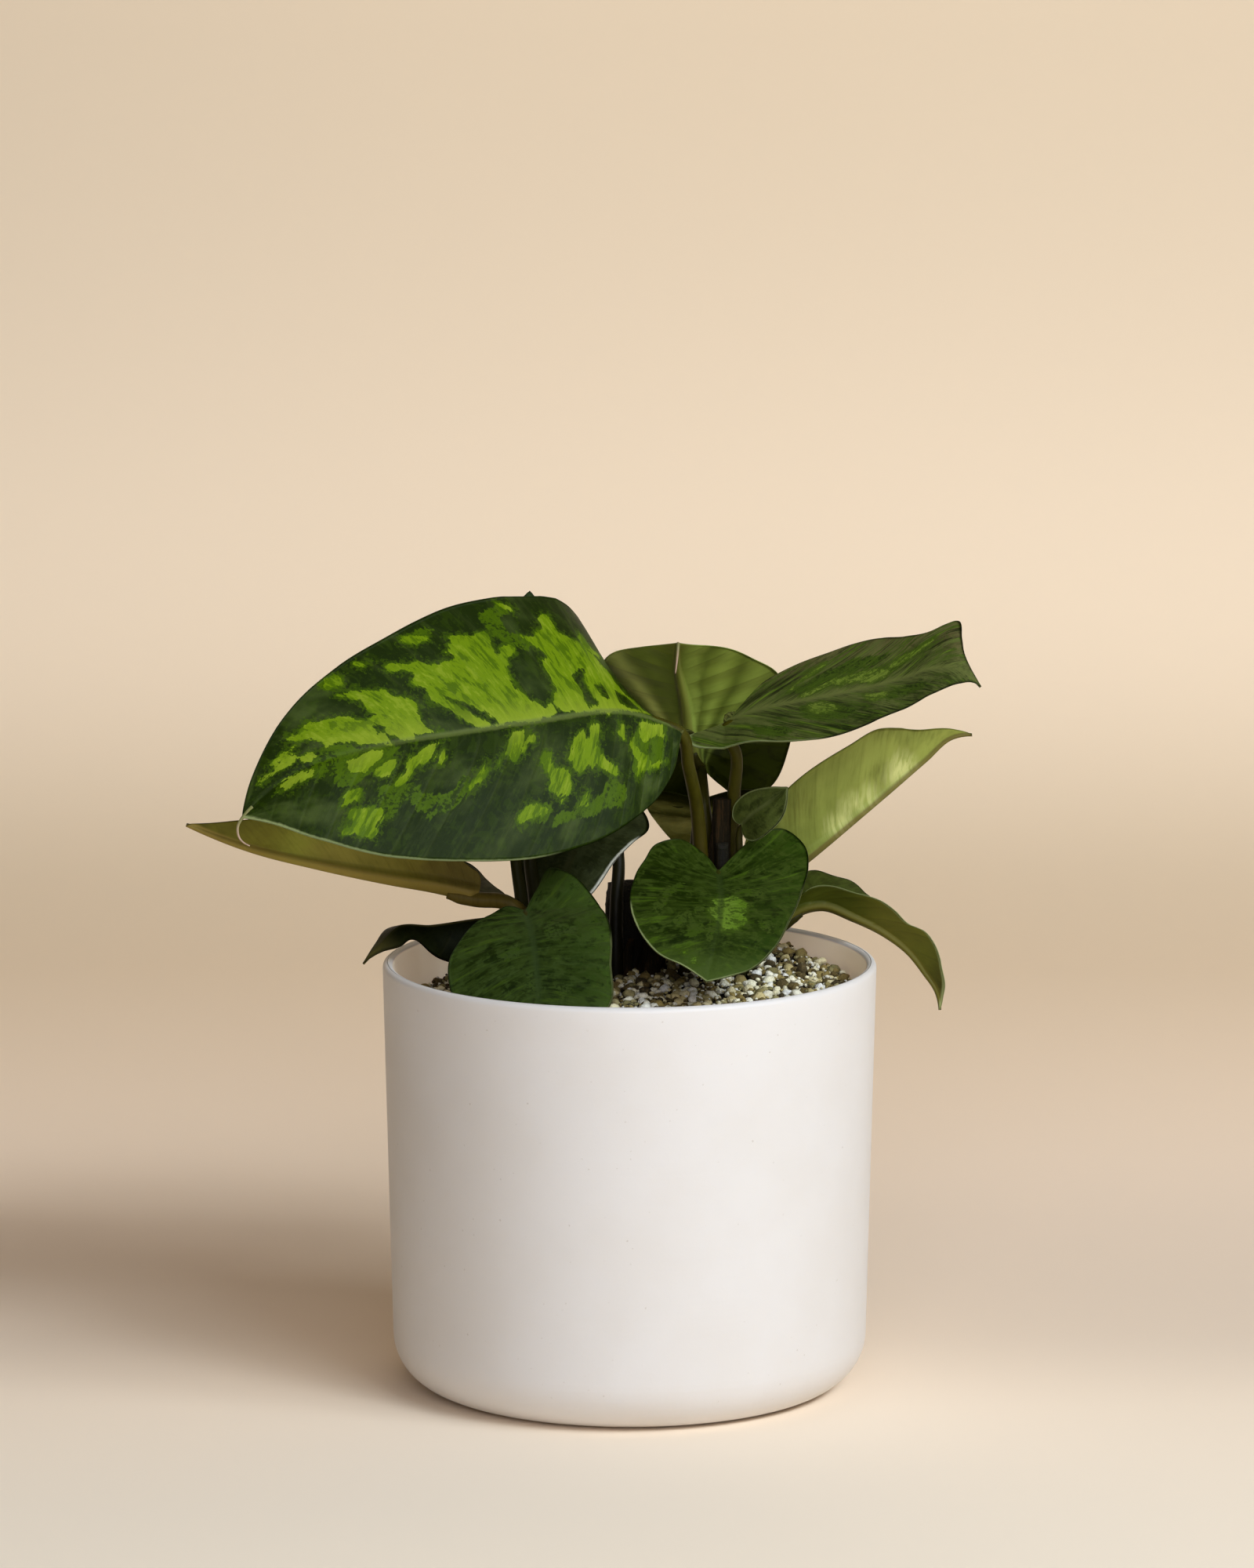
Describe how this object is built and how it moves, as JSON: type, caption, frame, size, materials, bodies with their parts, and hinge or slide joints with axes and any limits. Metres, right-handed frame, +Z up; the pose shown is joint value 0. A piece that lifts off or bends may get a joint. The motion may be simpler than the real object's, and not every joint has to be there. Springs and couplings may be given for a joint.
{
  "type": "potted homalomena",
  "caption": "Small aroid with heart-shaped variegated leaves on fleshy stalks, growing in gritty soil in a plain white cylindrical pot with a rounded foot.",
  "frame": {"origin": "centre of the pot's flat underside", "axes": "+Z up along the pot's axis; the pictured side faces -Y; +X is to the right of that view"},
  "size_m": [0.2003, 0.1493, 0.1999],
  "materials": {
    "white_glaze": "matt white",
    "gritty_soil": "loose pale grit over dark compost",
    "leaf_green": "satin leaf surface, dark green with lighter patches",
    "old_stem": "rough brown old stem"
  },
  "bodies": {
    "root": {"pot": "white_glaze", "soil": "gritty_soil", "crown_middle": "old_stem", "crown_right": "old_stem", "crown_left": "old_stem", "leaf_large_front": "leaf_green", "leaf_back_upright": "leaf_green", "leaf_right_upper": "leaf_green", "leaf_left_low": "leaf_green", "leaf_front_left": "leaf_green", "leaf_front_right": "leaf_green", "leaf_right_back": "leaf_green", "leaf_young": "leaf_green", "leaf_back_low": "leaf_green", "leaf_right_low": "leaf_green", "leaf_over_rim": "leaf_green", "leaf_shaded": "leaf_green", "leaf_rear_upright": "leaf_green", "leaf_rear_left": "leaf_green"}
  },
  "joints": []
}
